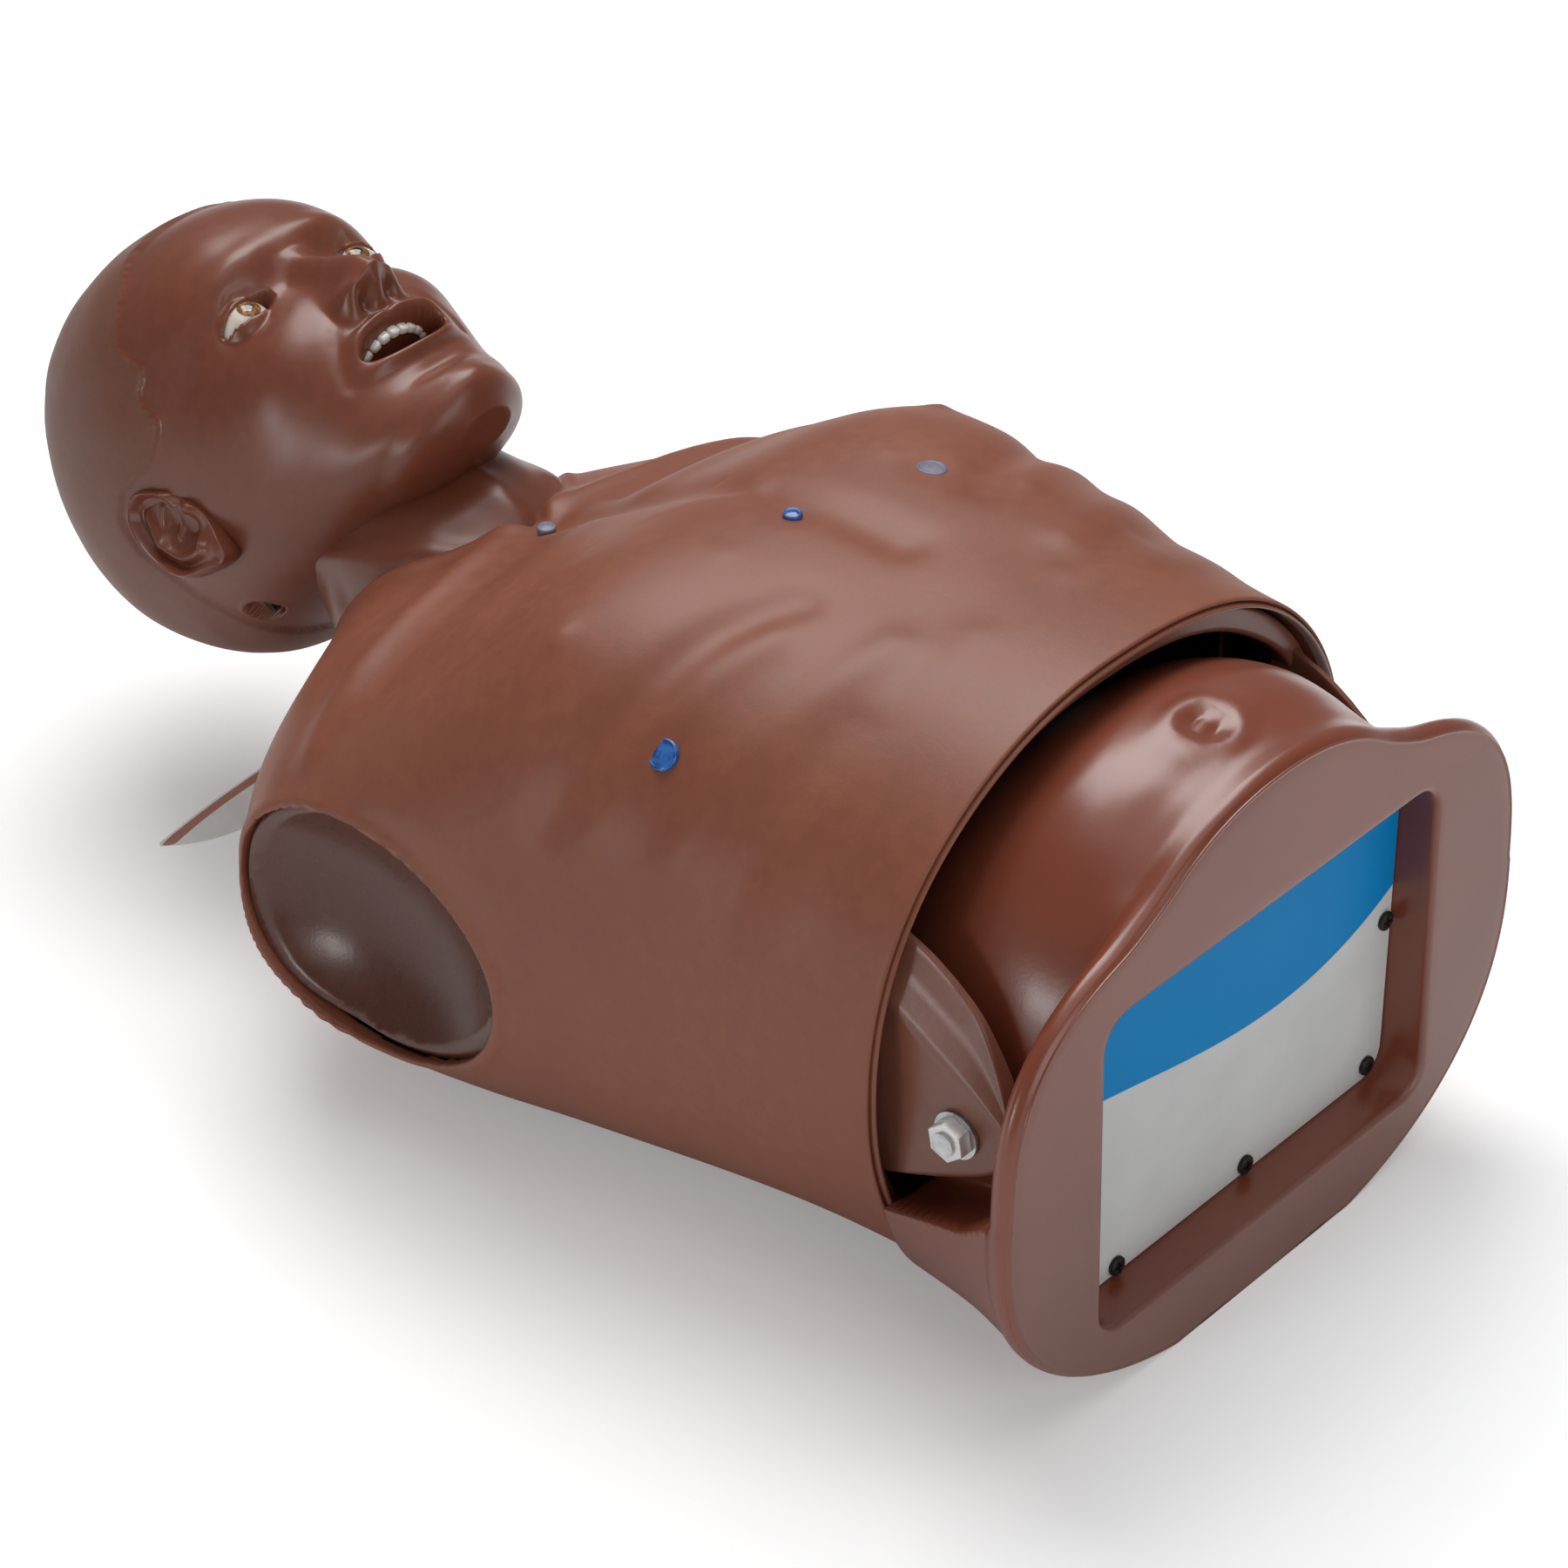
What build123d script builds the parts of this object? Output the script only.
from build123d import *
import math
import os

# Heart and lung training torso, lying on its back.
# Frame: +X is the torso's left, +Y runs to the crown, +Z is up out of the chest, the table is Z = 0.
# Distances "from the end" are measured along +Y from the flat end face. All sizes are millimetres.

# Overall
LENGTH = 650.0
BACK_CUT = 6.0
RING_POINTS = 24

# Layers of the trunk, from the outside in
SKIN = 4.0
SKIN_GAP = 0.4
SHELL_WALL = 4.2
FLOOR = 6.0
SEAT_GAP = 0.3

# Chest skin
HEM = 82.0
SKIN_EDGE_HEIGHT = 12.0
FLAP_LENGTH = 57.0
STUD_PROUD = 1.2
STUD_GAP = 1.0

# Trunk shell
SHELL_START = 98.0
STUMP_X = 170.0
DISH_CENTRE = 322.0
DISH_HEIGHT = 103.0
DISH_HALF_HEIGHT = 54.0
DISH_HALF_LENGTH = 71.0
DISH_DEPTH = 26.0

# Waist hinge
HIP = 49.0
HIP_HEIGHT = 124.0
HIP_BOLT_RADIUS = 5.0
HIP_BOLT_RUN = 0.08
LUG_INNER_X = 121.0
LUG_THICKNESS = 12.0
LUG_ROOM = 2.5
LUG_POCKET = 20.0
LUG_TIP_RADIUS = 24.0
LUG_RIDGE_HEIGHT = 150.0
LUG_RIDGE_RISE = 30.0
LUG_FACET_LEAN = -20.0
WASHER_THICKNESS = 1.6
WASHER_RADIUS = 10.0
NUT_FLATS = 15.0
NUT_THICKNESS = 6.4
BOLT_HEAD_RADIUS = 9.0
BOLT_HEAD_THICKNESS = 5.0
HIP_BOSS_RADIUS = 14.0
BOSS_INNER_X = 100.0

# Abdomen and its end panel
ABDOMEN_WALL = 5.0
ABDOMEN_END = 122.0
SHELF_END = 78.0
SHELF_HEIGHT = 76.0
SHELF_RISE = 22.0
NAVEL = 42.0
NAVEL_RADIUS = 9.0
NAVEL_DEPTH = 3.0
WINDOW_WIDTH = 200.0
WINDOW_HEIGHT = 130.0
WINDOW_CENTRE = 93.0
WINDOW_RADIUS = 20.0
RECESS_DEPTH = 24.0
PANEL_THICKNESS = 3.0
PANEL_CLEARANCE = 0.3
PANEL_SCREW_INSET = 7.0
PANEL_SCREW_RADIUS = 1.8
PANEL_SCREW_HEAD_RADIUS = 4.2
PANEL_SCREW_HEAD = 2.2
UNIT_WIDTH = 150.0
UNIT_HEIGHT = 84.0
UNIT_DEPTH = 42.0
BATTERY_WIDTH = 96.0
BATTERY_HEIGHT = 58.0
BATTERY_DEPTH = 28.0

# Chest plate, its guide and its spring
PLATE_HALF_WIDTH = 98.0
PLATE_START = 140.0
PLATE_END = 330.0
PLATE_RADIUS = 34.0
PLATE_RUN = 2.0
PLATE_TRAVEL = 50.0
PLATE_WALL = 4.5
GUIDE = 222.0
POST_RADIUS = 12.0
POST_RUN = 0.08
POST_TOP = 190.0
SLEEVE_WALL = 4.0
SLEEVE_LENGTH = 82.0
SPRING_RADIUS = 27.0
SPRING_WIRE = 2.5
SPRING_TURNS = 5
SPRING_SEAT = 196.0
SEAT_PLATE = 5.0
BASE_RADIUS = 44.0
BASE_HEIGHT = 14.0
SPEAKER_RADIUS = 24.0
SPEAKER_DEPTH = 13.0
SPEAKER_SEAT = 216.0
LUNG_SPEAKER_X = 58.0
LUNG_SPEAKER = 262.0
HEART_SPEAKER_X = 40.0
HEART_SPEAKER = 178.0

# Neck
NECK_START = 392.0
NECK_HEIGHT = 126.0
NECK_RISE = 25.0
NECK_RADIUS = 58.0
NECK_RUN = 0.6
SPIGOT_RADIUS = 40.0
SPIGOT_RUN = 0.08
SPIGOT_SHOULDER = -8.0
SPIGOT_LENGTH = 30.0
SOCKET_RADIUS = 52.0
SOCKET_THICKNESS = 12.0
SOCKET_FOOT_WIDTH = 60.0
RETAINER_RADIUS = 48.0
RETAINER_THICKNESS = 5.0
BALL_RADIUS = 48.0
BALL_RUN = 0.6
TILT_FROM_START = 100.0
TILT_BACK = 20.0
TILT_FORWARD = 5.0
TILT_PIN_RADIUS = 5.0
TILT_PIN_RUN = 0.08
TILT_PIN_REACH = 56.0

# Head: its own frame has Y to the crown and Z out of the face, through the ears
HEAD_EAR = 514.0
HEAD_HEIGHT = 175.0
HEAD_PITCH = 12.0
EYE_X = 32.0
EYE_UP = 20.0
EYE_OUT = 68.0
EYE_RADIUS = 12.5
EYE_GAP = 0.3
SOCKET_HALF_WIDTH = 17.0
SOCKET_HALF_HEIGHT = 9.5
SOCKET_DEPTH = 9.0
SOCKET_OUT = 85.0
MOUTH_UP = -38.0
MOUTH_WIDTH = 50.0
MOUTH_HEIGHT = 17.0
MOUTH_BACK = 56.0
CHEEK_WIDTH = 54.0
CHEEK_HEIGHT = 25.0
CHEEK_FRONT = 81.5
TEETH_RADIUS = 24.0
TEETH_THICKNESS = 4.0
UPPER_TEETH_HEIGHT = 9.0
LOWER_TEETH_HEIGHT = 6.0
TOOTH_TURN = 19.0
TONGUE_REACH = 9.2
EAR_X = 72.0
EAR_LENGTH = 60.0
EAR_WIDTH = 34.0
EAR_DEPTH = 9.0
EAR_HOLLOW_RADIUS = 12.0
NAPE_SCREW_RADIUS = 4.0
NAPE_SCREW_LENGTH = 8.0
NAPE_SCREW_X = 50.5
NAPE_SCREW_UP = -30.0
NAPE_SCREW_BACK = 36.0
NAPE_SCREW_TURN = 118.0
NAPE_RECESS_RADIUS = 6.5
NAPE_SCREW_STANDS = 3.0

SIDES = {"right": -1, "left": 1}


def along(from_end):
    """Y of a distance measured from the end face."""
    return from_end - LENGTH / 2


def power(value, exponent):
    return math.copysign(abs(value) ** exponent, value)


def ring(position, half_width, middle, top, bottom, upper, lower, inset=0.0):
    """One closed cross-section: a superellipse with its own fullness above and below the middle."""
    points = []
    for i in range(RING_POINTS):
        angle = 2 * math.pi * i / RING_POINTS
        fullness = upper if math.sin(angle) >= 0 else lower
        reach = top - inset - middle if math.sin(angle) >= 0 else middle - bottom - inset
        x = (half_width - inset) * power(math.cos(angle), 2 / fullness)
        z = middle + reach * power(math.sin(angle), 2 / fullness)
        points.append(Vector(x, position, z))
    knots = [i / RING_POINTS for i in range(RING_POINTS + 1)]
    return Wire([Edge.make_spline(points, periodic=True, parameters=knots)])


def skin_of(stations, inset=0.0, start=None, end=None):
    """A smooth body through cross-sections, each one drawn in by the same inset."""
    rings = [ring(along(s[0]), *s[1:], inset=inset) for s in stations]
    body = Solid.make_loft(rings)
    if start is None and end is None:
        return body
    first = stations[0][0] if start is None else start
    last = stations[-1][0] if end is None else end
    return body & slab(first, last)


def slab(first, last, low=-50.0, high=500.0, half_width=400.0):
    """A block between two distances from the end, and two heights."""
    block = Box(2 * half_width, last - first, high - low)
    return Pos(0, along((first + last) / 2), (low + high) / 2) * block


def one(shape):
    """The largest solid of a result, as a plain solid."""
    return sorted(shape.solids(), key=lambda s: s.volume)[-1]


def cross_bar(radius, x_start, x_end, from_end, height):
    """A cylinder along X between two values of X."""
    bar = Cylinder(radius, abs(x_end - x_start))
    return Pos((x_start + x_end) / 2, along(from_end), height) * Rot(0, 90, 0) * bar


def standing(radius, low, high, x, from_end):
    return Pos(x, along(from_end), (low + high) / 2) * Cylinder(radius, high - low)


# Cross-sections: from the end, half width, widest height, top, bottom, fullness above, fullness below
TRUNK = [
    (70.0, 147.0, 130.0, 259.0, -BACK_CUT, 2.2, 2.2),
    (120.0, 151.0, 128.0, 259.5, -BACK_CUT, 2.3, 2.2),
    (160.0, 156.0, 122.0, 261.0, -BACK_CUT, 2.5, 2.2),
    (200.0, 162.0, 115.0, 262.0, -BACK_CUT, 2.7, 2.2),
    (240.0, 169.5, 108.0, 260.0, -BACK_CUT, 2.8, 2.2),
    (280.0, 179.0, 103.0, 250.0, -BACK_CUT, 2.7, 2.2),
    (320.0, 185.0, 100.0, 229.0, -BACK_CUT, 2.5, 2.2),
    (360.0, 184.0, 98.0, 204.0, -2.0, 2.4, 2.2),
    (385.0, 176.0, 98.0, 192.0, 12.0, 2.3, 2.2),
    (402.0, 158.0, 100.0, 187.0, 31.0, 2.2, 2.1),
    (418.0, 126.0, 105.0, 183.0, 52.0, 2.1, 2.0),
    (434.0, 88.0, 113.0, 176.0, 70.0, 2.0, 2.0),
    (446.0, 62.0, 122.0, 166.0, 86.0, 2.0, 2.0),
]
BELLY = [
    (0.0, 155.0, 118.0, 215.0, -BACK_CUT, 1.75, 2.4),
    (6.0, 158.0, 118.0, 218.0, -BACK_CUT, 1.75, 2.4),
    (13.0, 154.0, 118.0, 222.0, -BACK_CUT, 1.8, 2.4),
    (20.0, 134.0, 119.0, 229.0, -BACK_CUT, 1.95, 2.45),
    (28.0, 118.5, 121.0, 235.0, -BACK_CUT, 2.1, 2.5),
    (40.0, 116.5, 123.0, 239.5, -BACK_CUT, 2.2, 2.5),
    (56.0, 116.0, 124.0, 240.5, -2.0, 2.3, 2.5),
    (84.0, 115.0, 124.0, 235.0, 12.0, 2.3, 2.3),
    (106.0, 110.0, 124.0, 222.0, 30.0, 2.3, 2.2),
    (ABDOMEN_END, 102.0, 124.0, 206.0, 46.0, 2.3, 2.2),
]
HIPS = [
    (2.0, 156.0, 118.0, 215.0, -BACK_CUT, 1.75, 2.4),
    (14.0, 157.5, 118.0, 215.0, -BACK_CUT, 1.8, 2.4),
    (40.0, 152.0, 120.0, 220.0, -BACK_CUT, 2.0, 2.4),
    (SHELF_END, 147.5, 126.0, 225.0, -BACK_CUT, 2.2, 2.4),
]
# Head cross-sections, in the head's frame: up, half width, widest place, face side, back side
HEAD = [
    (-89.0, 14.0, 70.0, 80.0, 60.0, 2.0, 2.0),
    (-83.0, 28.0, 62.0, 86.0, 42.0, 2.0, 2.0),
    (-69.0, 41.0, 46.0, 88.0, 16.0, 2.1, 2.0),
    (-52.0, 54.0, 24.0, 86.0, -34.0, 2.1, 2.0),
    (-32.0, 65.0, 6.0, 91.0, -76.0, 2.1, 2.1),
    (-8.0, 71.0, -8.0, 91.0, -99.0, 2.2, 2.1),
    (18.0, 74.0, -14.0, 88.0, -112.0, 2.3, 2.1),
    (44.0, 77.0, -18.0, 93.0, -116.0, 2.3, 2.1),
    (72.0, 74.0, -18.0, 84.0, -109.0, 2.2, 2.0),
    (96.0, 64.0, -15.0, 64.0, -92.0, 2.1, 2.0),
    (114.0, 49.0, -12.0, 40.0, -68.0, 2.0, 2.0),
    (128.0, 27.0, -12.0, 10.0, -40.0, 2.0, 2.0),
]


def trunk_cavity(inset):
    """The room inside the trunk, with a flat floor."""
    return skin_of(TRUNK, inset=inset) & slab(0, LENGTH, low=FLOOR + inset - SKIN - SKIN_GAP - SHELL_WALL)


def dish(side, growth=0.0):
    """The scooped end of one arm stump, as the solid that scoops it."""
    rise = DISH_HALF_HEIGHT
    radius = (rise ** 2 + DISH_DEPTH ** 2) / (2 * DISH_DEPTH)
    ball = Sphere(radius + growth)
    ball = scale(ball, by=(1, DISH_HALF_LENGTH / DISH_HALF_HEIGHT, 1))
    x = side * (STUMP_X + radius - DISH_DEPTH)
    return Pos(x, along(DISH_CENTRE), DISH_HEIGHT) * ball


def stump(side, inward=0.0):
    """Everything outside the flat end of one arm stump."""
    width = 100.0
    x = side * (STUMP_X - inward + width / 2)
    return Pos(x, along(DISH_CENTRE), DISH_HEIGHT) * Box(width, 400, 400)


def neck_place(distance=0.0):
    """A place on the neck's axis, with its Z along the neck."""
    rise = math.radians(NECK_RISE)
    y = along(NECK_START) + distance * math.cos(rise)
    z = NECK_HEIGHT + distance * math.sin(rise)
    return Location((0, y, z), (NECK_RISE - 90, 0, 0))


HEAD_PLACE = Location((0, along(HEAD_EAR), HEAD_HEIGHT), (HEAD_PITCH, 0, 0))


def turned(profile):
    """A solid of revolution about local Z from (radius, height) corners."""
    face = Face(Wire.make_polygon([(r, 0, h) for r, h in profile], close=True))
    return revolve(face, axis=Axis.Z, revolution_arc=360)


def plate_outline(clearance=0.0):
    """The chest plate's outline seen from above, as a tall prism."""
    width = 2 * (PLATE_HALF_WIDTH - clearance)
    length = PLATE_END - PLATE_START - 2 * clearance
    sketch = RectangleRounded(width, length, PLATE_RADIUS)
    return Pos(0, along((PLATE_START + PLATE_END) / 2), 0) * extrude(sketch, 400)


def make_chest_skin():
    skin = skin_of(TRUNK, start=HEM) - skin_of(TRUNK, inset=SKIN)
    skin = skin & slab(HEM, LENGTH, low=SKIN_EDGE_HEIGHT)
    for side in SIDES.values():
        skin = skin - stump(side)
    skin = skin - neck_place(TILT_FROM_START / 2) * Cylinder(NECK_RADIUS + NECK_RUN, 160)
    for stud in STUDS:
        skin = skin - stud_place(stud) * Cylinder(stud[3] + SEAT_GAP, 30)
    skin = one(skin)
    inside = skin_of(TRUNK, inset=SKIN)
    for side in SIDES.values():
        skin = skin + (flap(side) - inside)
    return one(skin)


def flap(side):
    """The loose corner of the skin behind one shoulder."""
    root_high = Vector(side * 138, along(391), 152)
    root_low = Vector(side * 147, along(404), 120)
    tip = Vector(side * 154, along(400 + FLAP_LENGTH), 84)
    triangle = Face(Wire.make_polygon([root_high, tip, root_low], close=True))
    return extrude(triangle, SKIN / 2, both=True)


# Contact studs: name, X, from the end, radius
STUDS = [
    ("right_contact_stud", -129.0, 198.0, 6.5),
    ("left_contact_stud", 52.0, 218.0, 6.5),
    ("centre_contact_stud", -11.0, 236.0, 4.0),
    ("upper_contact_stud", -8.0, 372.0, 4.0),
]


def trunk_point(x, from_end):
    """The height and the slope of the skin's surface at a place seen from above."""
    for first, second in zip(TRUNK, TRUNK[1:]):
        if first[0] <= from_end <= second[0]:
            share = (from_end - first[0]) / (second[0] - first[0])
            row = [a + (b - a) * share for a, b in zip(first, second)]
            half_width, middle, top, fullness = row[1], row[2], row[3], row[5]
            height = (1 - (abs(x) / half_width) ** fullness) ** (1 / fullness)
            slope = (abs(x) / half_width) ** (fullness - 1) / height ** (fullness - 1)
            lean = math.atan(slope * (top - middle) / half_width)
            return middle + (top - middle) * height, math.degrees(lean)
    raise ValueError("outside the trunk")


def stud_place(stud):
    height, lean = trunk_point(stud[1], stud[2])
    return Location((stud[1], along(stud[2]), height), (0, math.copysign(lean, stud[1]), 0))


def make_stud(stud):
    """A domed stud through the skin, resting just above the shell."""
    length = SKIN - STUD_GAP + STUD_PROUD
    body = Pos(0, 0, STUD_PROUD - length / 2) * Cylinder(stud[3], length)
    edges = body.edges().filter_by(GeomType.CIRCLE).sort_by(Axis.Z)[-1:]
    return stud_place(stud) * fillet(edges, STUD_PROUD * 0.8)


def lug(side):
    """The wing of the trunk shell that carries the hip bolt."""
    tip = HIP - LUG_TIP_RADIUS
    with BuildSketch(Plane.YZ) as drawing:
        with BuildLine():
            low = (along(SHELL_START + 24), 86.0)
            high = (along(SHELL_START + 24), 204.0)
            lower_tangent = (along(HIP + 6), HIP_HEIGHT - LUG_TIP_RADIUS)
            Line(high, low)
            Line(low, lower_tangent)
            ThreePointArc(lower_tangent, (along(tip), HIP_HEIGHT), (along(tip + 5), HIP_HEIGHT + 22))
            Spline((along(tip + 5), HIP_HEIGHT + 22), (along(HIP), 176.0), high)
        make_face()
    plate = extrude(drawing.sketch, LUG_THICKNESS)
    x = LUG_INNER_X if side > 0 else -LUG_INNER_X - LUG_THICKNESS
    plate = Pos(x, 0, 0) * plate
    root = slab(SHELL_START + 2, SHELL_START + 24, low=90, high=200)
    root = root & (Pos(side * (LUG_INNER_X + 50), 0, 100) * Box(100, LENGTH, 400))
    plate = plate - lug_facet(side)
    hole = cross_bar(HIP_BOLT_RADIUS + HIP_BOLT_RUN, side * 90, side * 160, HIP, HIP_HEIGHT)
    return plate + root - hole


def lug_facet(side):
    """What the sloping upper facet takes off the wing's outer face, along its ridge."""
    x = side * (LUG_INNER_X + LUG_THICKNESS)
    place = Location((x, along(HIP), LUG_RIDGE_HEIGHT), (LUG_RIDGE_RISE, side * LUG_FACET_LEAN, 0))
    return place * Pos(side * 30, 0, 0) * Box(60, 300, 200)


def make_torso_shell():
    outer = skin_of(TRUNK, inset=SKIN + SKIN_GAP, start=SHELL_START) & slab(0, LENGTH, low=0)
    inner = trunk_cavity(SKIN + SKIN_GAP + SHELL_WALL)
    outline = skin_of(TRUNK, inset=SKIN + SKIN_GAP)
    for side in SIDES.values():
        outer = outer - stump(side) - dish(side)
        inner = inner - stump(side, inward=SHELL_WALL) - dish(side, growth=SHELL_WALL)
    shell = one(outer - inner)
    shell = shell - neck_place(TILT_FROM_START / 2 + 10) * Cylinder(NECK_RADIUS + NECK_RUN, 160)
    shell = shell - (plate_outline() & slab(0, LENGTH, low=150))
    for side in SIDES.values():
        wing = lug(side)
        shell = shell + (wing & slab(0, HEM - 4)) + (wing & outline & slab(HEM - 4, LENGTH))
    return one(shell)


def make_chest_plate():
    outside = SKIN + SKIN_GAP
    plate = skin_of(TRUNK, inset=outside) - skin_of(TRUNK, inset=outside + PLATE_WALL)
    plate = one(plate & plate_outline(PLATE_RUN) & slab(0, LENGTH, low=150))
    body = skin_of(TRUNK, inset=outside + 1.0)
    hub = standing(POST_RADIUS + POST_RUN + SLEEVE_WALL, SPRING_SEAT - SLEEVE_LENGTH + 40, 280, 0, GUIDE)
    seat = standing(SPRING_RADIUS + 6, SPRING_SEAT, 280, 0, GUIDE)
    additions = hub + seat
    for x, place in speaker_places():
        additions = additions + standing(SPEAKER_RADIUS + 3, SPEAKER_SEAT, 280, x, place)
    plate = plate + (additions & body)
    plate = plate - standing(POST_RADIUS + POST_RUN, 0, POST_TOP + PLATE_TRAVEL + 5, 0, GUIDE)
    return one(plate)


def speaker_places():
    return [(-LUNG_SPEAKER_X, LUNG_SPEAKER), (LUNG_SPEAKER_X, LUNG_SPEAKER), (HEART_SPEAKER_X, HEART_SPEAKER)]


def make_speaker(x, place):
    """A small loudspeaker: magnet pot, basket and rim, sounding up into the plate."""
    rim = standing(SPEAKER_RADIUS, SPEAKER_SEAT - 3, SPEAKER_SEAT, x, place)
    pot = standing(SPEAKER_RADIUS * 0.5, SPEAKER_SEAT - SPEAKER_DEPTH, SPEAKER_SEAT - 3, x, place)
    basket = Pos(x, along(place), SPEAKER_SEAT - 6) * Cone(SPEAKER_RADIUS * 0.55, SPEAKER_RADIUS - 2, 6)
    return one(rim + basket + pot)


def make_spring_base():
    top = FLOOR + BASE_HEIGHT
    base = standing(BASE_RADIUS, FLOOR, FLOOR + 5, 0, GUIDE)
    cup = standing(SPRING_RADIUS + 8, FLOOR, top, 0, GUIDE)
    well = standing(SPRING_RADIUS + SPRING_WIRE + 1, FLOOR + SEAT_PLATE, top + 1, 0, GUIDE)
    core = standing(POST_RADIUS + 5, FLOOR, top, 0, GUIDE)
    bore = standing(POST_RADIUS, FLOOR + SEAT_PLATE, top + 1, 0, GUIDE)
    return one(base + cup - well + core - bore)


def make_guide_post():
    post = standing(POST_RADIUS, FLOOR + SEAT_PLATE, POST_TOP, 0, GUIDE)
    edge = post.edges().filter_by(GeomType.CIRCLE).sort_by(Axis.Z)[-1:]
    return chamfer(edge, 2)


def make_spring():
    low = FLOOR + SEAT_PLATE + SPRING_WIRE + SEAT_GAP
    high = SPRING_SEAT - SPRING_WIRE - SEAT_GAP
    pitch = (high - low) / SPRING_TURNS
    path = Helix(pitch, high - low, SPRING_RADIUS)
    section = Plane(path @ 0, z_dir=path % 0) * Circle(SPRING_WIRE)
    return Pos(0, along(GUIDE), low) * sweep(section, path=path)


def make_neck_socket():
    ring_height = SPIGOT_SHOULDER - SEAT_GAP - SOCKET_THICKNESS / 2
    collar = neck_place(ring_height) * Cylinder(SOCKET_RADIUS, SOCKET_THICKNESS)
    foot = neck_place(ring_height) * Pos(0, -80, 0) * Box(SOCKET_FOOT_WIDTH, 160, SOCKET_THICKNESS)
    bore = neck_place(ring_height) * Cylinder(SPIGOT_RADIUS + SPIGOT_RUN, 3 * SOCKET_THICKNESS)
    room = trunk_cavity(SKIN + SKIN_GAP + SHELL_WALL + SEAT_GAP)
    return one((collar + foot) & room - bore)


def neck_profile():
    """Radius against distance from the neck's start, from the spigot to the ball."""
    return [
        (0.0, SPIGOT_SHOULDER - SPIGOT_LENGTH),
        (SPIGOT_RADIUS, SPIGOT_SHOULDER - SPIGOT_LENGTH),
        (SPIGOT_RADIUS, SPIGOT_SHOULDER),
        (NECK_RADIUS, SPIGOT_SHOULDER),
        (NECK_RADIUS, 46.0),
        (NECK_RADIUS - 5.0, 64.0),
        (BALL_RADIUS - 1.0, 80.0),
        (BALL_RADIUS - 1.0, TILT_FROM_START),
        (0.0, TILT_FROM_START),
    ]


def make_neck():
    """The neck block with its spigot below and its ball above."""
    body = turned(neck_profile()) + Pos(0, 0, TILT_FROM_START) * Sphere(BALL_RADIUS)
    return one(neck_place() * body - tilt_pin(TILT_PIN_RUN))


def make_retainer():
    """The ring that keeps the spigot in its socket."""
    distance = SPIGOT_SHOULDER - 2 * SEAT_GAP - SOCKET_THICKNESS - RETAINER_THICKNESS / 2
    ring_body = Cylinder(RETAINER_RADIUS, RETAINER_THICKNESS) - Cylinder(SPIGOT_RADIUS, RETAINER_THICKNESS + 2)
    return neck_place(distance) * ring_body


def tilt_pin(growth=0.0):
    place = neck_place(TILT_FROM_START).position
    pin = Cylinder(TILT_PIN_RADIUS + growth, 2 * TILT_PIN_REACH)
    return Location(place) * Rot(0, 90, 0) * pin


def swing_room():
    """The room that the neck sweeps inside the head, from full forward to full back tilt."""
    half_swing = math.radians((TILT_BACK + TILT_FORWARD) / 2)
    corners = []
    for radius, height in neck_profile()[3:8]:
        drop = TILT_FROM_START - height
        reach = math.hypot(radius + NECK_RUN, drop)
        angle = min(math.atan2(radius + NECK_RUN, drop) + half_swing, math.pi / 2)
        corners.append((reach * math.sin(angle), -reach * math.cos(angle)))
    corners = corners[:-1] + [(BALL_RADIUS, 0.0)]
    profile = [(0.0, corners[0][1])] + corners + [(0.0, 0.0)]
    place = neck_place(TILT_FROM_START).position
    lean = NECK_RISE + (TILT_BACK - TILT_FORWARD) / 2
    body = turned(profile)
    return Location(place, (lean - 90, 0, 0)) * body + Location(place) * Sphere(BALL_RADIUS + BALL_RUN)


def nose():
    """A wedge of a nose, from its root between the eyes to its tip."""
    root = Plane(origin=(0, 24, 84), z_dir=(0, -1, 0.0)) * Ellipse(7, 8)
    bridge = Plane(origin=(0, 6, 92), z_dir=(0, -1, 0)) * Ellipse(9, 10)
    tip = Plane(origin=(0, -14, 99), z_dir=(0, -1, 0)) * Ellipse(15, 13)
    base = Plane(origin=(0, -21, 94), z_dir=(0, -1, 0)) * Ellipse(13, 8)
    return loft([f.face() for f in (root, bridge, tip, base)])


def ear(side):
    """A rounded ear plate with a hollow, leaning out of the side of the head."""
    body = extrude(Ellipse(EAR_WIDTH / 2, EAR_LENGTH / 2), EAR_DEPTH, both=True)
    ear_body = Rot(0, 90, 0) * body - Pos(EAR_DEPTH + 7, 0, 1) * Sphere(EAR_HOLLOW_RADIUS)
    ear_body = Pos(EAR_X, -2, -4) * Rot(12, 0, 8) * ear_body
    return ear_body if side > 0 else mirror(ear_body, about=Plane.YZ)


def mouth():
    """The open mouth: the lip opening and the wider room behind it."""
    lips = Plane(origin=(0, MOUTH_UP, MOUTH_BACK), z_dir=(0, 0, 1)) * Ellipse(MOUTH_WIDTH / 2, MOUTH_HEIGHT / 2)
    room = Box(CHEEK_WIDTH, CHEEK_HEIGHT, CHEEK_FRONT - MOUTH_BACK)
    room = fillet(room.edges().filter_by(Axis.Z), 2.5)
    return extrude(lips, 60) + Pos(0, MOUTH_UP, (CHEEK_FRONT + MOUTH_BACK) / 2) * room


def eye_place(side):
    return Pos(side * EYE_X, EYE_UP, EYE_OUT)


def eye_socket(side):
    """The dent between the brow and the cheek that the eyeball looks out of."""
    dent = scale(Sphere(1), by=(SOCKET_HALF_WIDTH, SOCKET_HALF_HEIGHT, SOCKET_DEPTH))
    return Pos(side * EYE_X, EYE_UP, SOCKET_OUT) * dent


def nape_screw_place(side):
    return Location((side * NAPE_SCREW_X, NAPE_SCREW_UP, -NAPE_SCREW_BACK), (0, side * NAPE_SCREW_TURN, 0))


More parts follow.
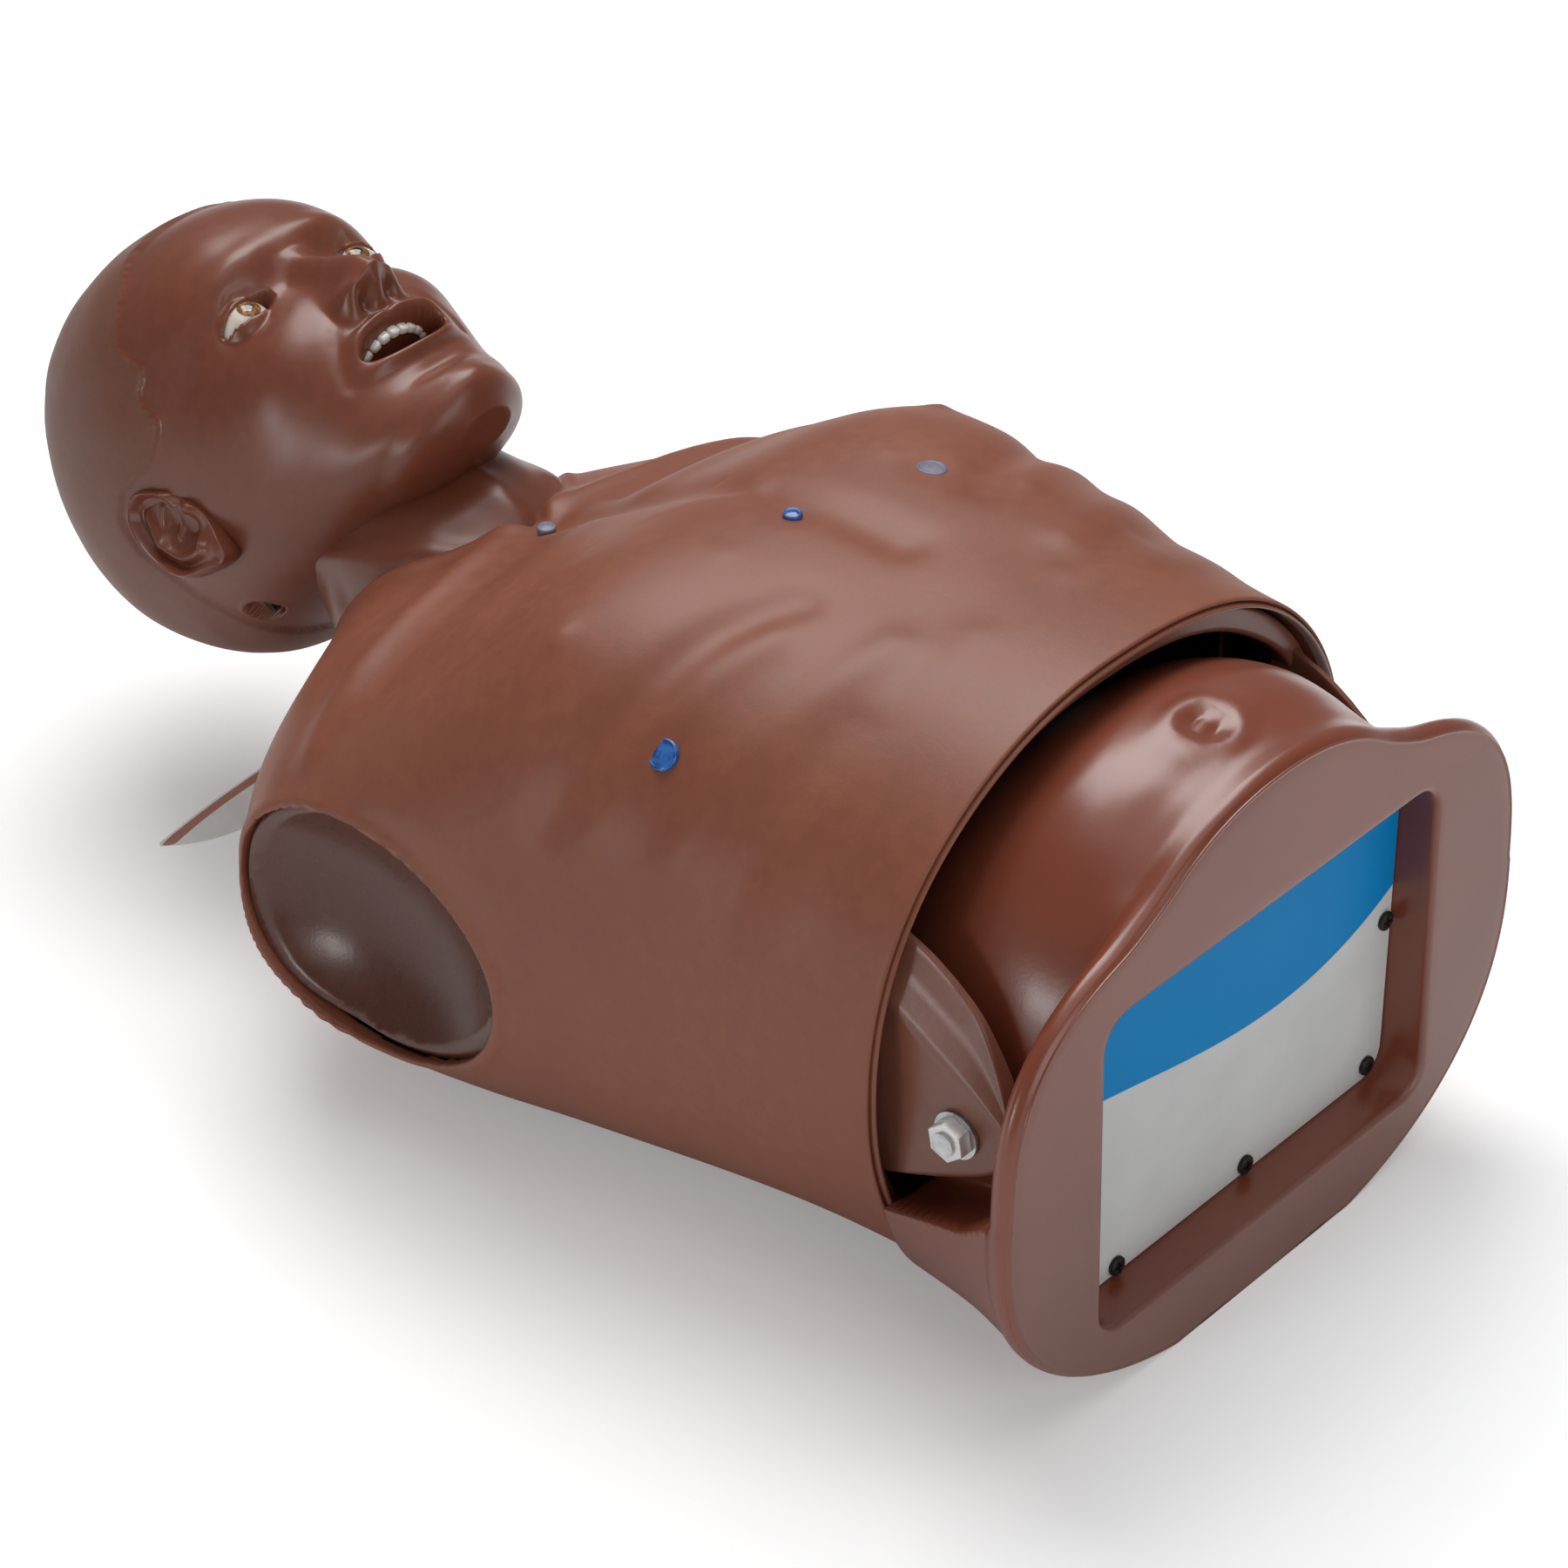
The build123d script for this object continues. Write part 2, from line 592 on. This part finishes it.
def make_head():
    shell = Solid.make_loft([ring(*row) for row in HEAD])
    shell = one(shell + nose())
    shell = one(shell + ear(1))
    shell = one(shell + ear(-1))
    shell = shell - mouth()
    for side in SIDES.values():
        shell = one(shell - eye_socket(side)) - eye_place(side) * Sphere(EYE_RADIUS + EYE_GAP)
        shell = shell - nape_screw(side, SEAT_GAP) - nape_recess(side)
    shell = HEAD_PLACE * shell
    shell = shell - swing_room()
    shell = shell - tilt_pin()
    return one(shell)


def teeth(upper):
    """One arch of teeth, standing on the roof or the floor of the mouth."""
    tall = UPPER_TEETH_HEIGHT if upper else LOWER_TEETH_HEIGHT
    height = MOUTH_UP + (1 if upper else -1) * (CHEEK_HEIGHT - tall) / 2
    band = Cylinder(TEETH_RADIUS, tall) - Cylinder(TEETH_RADIUS - TEETH_THICKNESS, tall + 1)
    arch = Rot(90, 0, 0) * band & Pos(0, 0, 50 + SEAT_GAP) * Box(200, 200, 100)
    for i in range(-3, 4):
        gap = Rot(0, i * TOOTH_TURN, 0) * Pos(0, 0, TEETH_RADIUS) * Box(0.5, tall + 1, 1.6)
        arch = arch - gap
    return HEAD_PLACE * Pos(0, height, MOUTH_BACK) * one(arch)


def drum(radius, half_width=400.0):
    """Everything within a radius of the waist hinge."""
    return cross_bar(radius, -half_width, half_width, HIP, HIP_HEIGHT)


def shelf_block(lift=0.0):
    """The part of the hips that lies below the side shelves, with its sloping top."""
    low_edge = (along(SHELF_END), SHELF_HEIGHT - lift)
    high_edge = (along(16.0), SHELF_HEIGHT + SHELF_RISE - lift)
    corners = [(along(0), -20), (along(SHELF_END), -20), low_edge, high_edge, (along(0), high_edge[1])]
    with BuildSketch(Plane.YZ) as drawing:
        with BuildLine():
            Polyline(*corners, close=True)
        make_face()
    return extrude(drawing.sketch, 200, both=True)


def lug_pocket(side):
    """The room beside the belly that the lug sweeps."""
    width = 80.0
    length = ABDOMEN_END + 5 - LUG_POCKET
    x = side * (LUG_INNER_X - LUG_ROOM + width / 2)
    block = Pos(x, along(LUG_POCKET + length / 2), 200) * Box(width, length, 320)
    return block - shelf_block()


def window(first, last, growth=0.0):
    """The rounded window of the end face, from one depth to another."""
    outline = RectangleRounded(WINDOW_WIDTH + 2 * growth, WINDOW_HEIGHT + 2 * growth, WINDOW_RADIUS + growth)
    plane = Plane(origin=(0, along(first), WINDOW_CENTRE), x_dir=(1, 0, 0), z_dir=(0, 1, 0))
    return extrude(plane * outline, last - first)


def end_block(width, height, first, last, middle=WINDOW_CENTRE):
    return Pos(0, along((first + last) / 2), middle) * Box(width, last - first, height)


def make_abdomen():
    hips = skin_of(HIPS) & shelf_block()
    outer = skin_of(BELLY) + hips
    outer = outer & slab(0, LENGTH, low=0)
    outer = outer & (slab(0, HIP) + drum(HIP_HEIGHT - SEAT_GAP))
    for side in SIDES.values():
        outer = one(outer - lug_pocket(side))
    hollow = skin_of(BELLY, inset=ABDOMEN_WALL, start=ABDOMEN_WALL)
    hollow = hollow + (skin_of(HIPS, inset=ABDOMEN_WALL) & shelf_block(lift=ABDOMEN_WALL))
    hollow = hollow & slab(ABDOMEN_WALL, LENGTH, low=ABDOMEN_WALL)
    hollow = hollow & (slab(0, HIP) + drum(HIP_HEIGHT - SEAT_GAP - ABDOMEN_WALL))
    hollow = hollow - window(0, RECESS_DEPTH + ABDOMEN_WALL, growth=ABDOMEN_WALL)
    for side in SIDES.values():
        hollow = one(hollow - cross_bar(HIP_BOSS_RADIUS, side * BOSS_INNER_X, side * LUG_INNER_X, HIP, HIP_HEIGHT))
    shell = one(outer - hollow) - window(-1, RECESS_DEPTH)
    opening = end_block(UNIT_WIDTH + 2, UNIT_HEIGHT + 2, RECESS_DEPTH - 1, RECESS_DEPTH + ABDOMEN_WALL + 1)
    shell = one(shell - opening)
    for side in SIDES.values():
        shell = one(shell - cross_bar(HIP_BOLT_RADIUS, side * 60, side * 160, HIP, HIP_HEIGHT))
    shell = one(shell - navel())
    for x, z in panel_screws():
        shell = shell - end_bar(PANEL_SCREW_RADIUS, RECESS_DEPTH - 1, RECESS_DEPTH + ABDOMEN_WALL - 1, x, z)
    return one(shell)


def navel():
    """A shallow round dent on top of the belly."""
    ball = (NAVEL_RADIUS ** 2 + NAVEL_DEPTH ** 2) / (2 * NAVEL_DEPTH)
    return Pos(0, along(NAVEL), belly_top(NAVEL) + ball - NAVEL_DEPTH) * Sphere(ball)


def belly_top(from_end):
    """The height of the belly above the table on its middle line."""
    for first, second in zip(BELLY, BELLY[1:]):
        if first[0] <= from_end <= second[0]:
            return first[3] + (second[3] - first[3]) * (from_end - first[0]) / (second[0] - first[0])
    raise ValueError("outside the belly")


def end_bar(radius, first, last, x, z):
    """A cylinder along Y between two distances from the end."""
    return Pos(x, along((first + last) / 2), z) * Rot(90, 0, 0) * Cylinder(radius, last - first)


def panel_screws():
    """The screws of the end panel: three along its lower edge, two at the sides, one on top."""
    x = WINDOW_WIDTH / 2 - PANEL_SCREW_INSET
    low = WINDOW_CENTRE - WINDOW_HEIGHT / 2 + PANEL_SCREW_INSET
    high = WINDOW_CENTRE + WINDOW_HEIGHT / 2 - PANEL_SCREW_INSET
    corner = WINDOW_RADIUS * 0.3
    side = WINDOW_CENTRE + 12
    return [(-x + corner, low + corner), (0, low), (x - corner, low + corner), (-x, side), (x, side), (0, high)]


def make_end_panel():
    growth = -PANEL_CLEARANCE
    panel = window(RECESS_DEPTH - PANEL_THICKNESS, RECESS_DEPTH, growth)
    for x, z in panel_screws():
        panel = panel - end_bar(PANEL_SCREW_RADIUS, 0, LENGTH / 2, x, z)
    return one(panel)


def make_panel_screws():
    """The six black screws of the end panel, each with a cross recess."""
    face = RECESS_DEPTH - PANEL_THICKNESS
    screws = []
    for x, z in panel_screws():
        head = end_bar(PANEL_SCREW_HEAD_RADIUS, face - PANEL_SCREW_HEAD, face, x, z)
        shank = end_bar(PANEL_SCREW_RADIUS, face, RECESS_DEPTH + ABDOMEN_WALL - 1, x, z)
        slot = end_block(4.6, 0.9, face - PANEL_SCREW_HEAD - 1, face - 1, middle=z)
        cross = Pos(x, 0, 0) * slot + Pos(x, along(face - PANEL_SCREW_HEAD), z) * Box(0.9, 2.4, 4.6)
        screws.append(one(head + shank - cross))
    return Compound(screws)


def make_control_unit():
    """The sound module on the back of the end panel."""
    start = RECESS_DEPTH
    body = end_block(UNIT_WIDTH, UNIT_HEIGHT, start, start + UNIT_DEPTH)
    body = fillet(body.edges().filter_by(Axis.Y), 5)
    return body


def make_battery():
    """The battery pack on the back of the module."""
    start = RECESS_DEPTH + UNIT_DEPTH
    body = end_block(BATTERY_WIDTH, BATTERY_HEIGHT, start, start + BATTERY_DEPTH)
    return fillet(body.edges().filter_by(Axis.Y), 4)


def hip_stack(side):
    """X of each face along one hip bolt, from its head outwards."""
    inner = BOSS_INNER_X - BOLT_HEAD_THICKNESS
    lug_face = LUG_INNER_X + LUG_THICKNESS + SEAT_GAP
    washer_face = lug_face + WASHER_THICKNESS
    nut_face = washer_face + NUT_THICKNESS
    return [side * x for x in (inner, BOSS_INNER_X, lug_face, washer_face, nut_face)]


def make_hip_bolt(side):
    inner, boss, lug_face, washer_face, nut_face = hip_stack(side)
    head = cross_bar(BOLT_HEAD_RADIUS, inner, boss, HIP, HIP_HEIGHT)
    shank = cross_bar(HIP_BOLT_RADIUS, boss, nut_face + side * 1.5, HIP, HIP_HEIGHT)
    return one(head + shank)


def make_hip_washer(side):
    faces = hip_stack(side)
    washer = cross_bar(WASHER_RADIUS, faces[2], faces[3], HIP, HIP_HEIGHT)
    return washer - cross_bar(HIP_BOLT_RADIUS, faces[2] - side, faces[3] + side, HIP, HIP_HEIGHT)


def make_hip_nut(side):
    faces = hip_stack(side)
    plane = Plane(origin=(faces[3], along(HIP), HIP_HEIGHT), z_dir=(side, 0, 0))
    nut = extrude(plane * RegularPolygon(NUT_FLATS / 2, 6, major_radius=False), NUT_THICKNESS)
    crown = plane * Pos(0, 0, NUT_THICKNESS / 2) * Cylinder(NUT_FLATS / 2 + 0.9, NUT_THICKNESS)
    nut = nut & crown
    return one(nut - cross_bar(HIP_BOLT_RADIUS, faces[3] - side, faces[4] + side, HIP, HIP_HEIGHT))


def make_eye(side):
    return HEAD_PLACE * eye_place(side) * Sphere(EYE_RADIUS)


def make_tongue():
    """The tongue on the floor of the mouth, inside the lower teeth."""
    body = scale(Sphere(1), by=(13, 6, TONGUE_REACH))
    body = body & Pos(0, 5, 0) * Box(100, 14, 100)
    return HEAD_PLACE * Pos(0, MOUTH_UP - CHEEK_HEIGHT / 2 + 2, MOUTH_BACK + TONGUE_REACH + SEAT_GAP) * body


def make_nape_screws():
    """The two recessed screws beside the nape."""
    return Compound([one(HEAD_PLACE * nape_screw(side)) for side in SIDES.values()])


def nape_screw(side, growth=0.0):
    body = Cylinder(NAPE_SCREW_RADIUS + growth, NAPE_SCREW_LENGTH + 2 * growth)
    return nape_screw_place(side) * body


def nape_recess(side):
    """The wider hole that the screw's head lies in."""
    depth = 30.0
    floor = NAPE_SCREW_LENGTH / 2 - NAPE_SCREW_STANDS
    hole = Pos(0, 0, floor + depth / 2) * Cylinder(NAPE_RECESS_RADIUS, depth)
    return nape_screw_place(side) * hole


def main():
    os.makedirs("parts", exist_ok=True)
    parts = {
        "chest_skin": make_chest_skin(),
        "torso_shell": make_torso_shell(),
        "chest_plate": make_chest_plate(),
        "spring_base": make_spring_base(),
        "guide_post": make_guide_post(),
        "compression_spring": make_spring(),
        "neck_socket": make_neck_socket(),
        "neck": make_neck(),
        "neck_retainer": make_retainer(),
        "tilt_pin": tilt_pin(),
        "head": make_head(),
        "abdomen_shell": make_abdomen(),
        "end_panel": make_end_panel(),
        "panel_screws": make_panel_screws(),
        "control_unit": make_control_unit(),
        "battery_pack": make_battery(),
        "upper_teeth": teeth(True),
        "lower_teeth": teeth(False),
        "tongue": make_tongue(),
        "nape_screws": make_nape_screws(),
    }
    for name, side in SIDES.items():
        parts[f"{name}_hip_bolt"] = make_hip_bolt(side)
        parts[f"{name}_hip_washer"] = make_hip_washer(side)
        parts[f"{name}_hip_nut"] = make_hip_nut(side)
        parts[f"{name}_eye"] = make_eye(side)
    for stud in STUDS:
        parts[stud[0]] = make_stud(stud)
    places = speaker_places()
    parts["right_lung_speaker"] = make_speaker(*places[0])
    parts["left_lung_speaker"] = make_speaker(*places[1])
    parts["heart_speaker"] = make_speaker(*places[2])
    for name, shape in parts.items():
        export_step(shape, f"parts/{name}.step")


main()
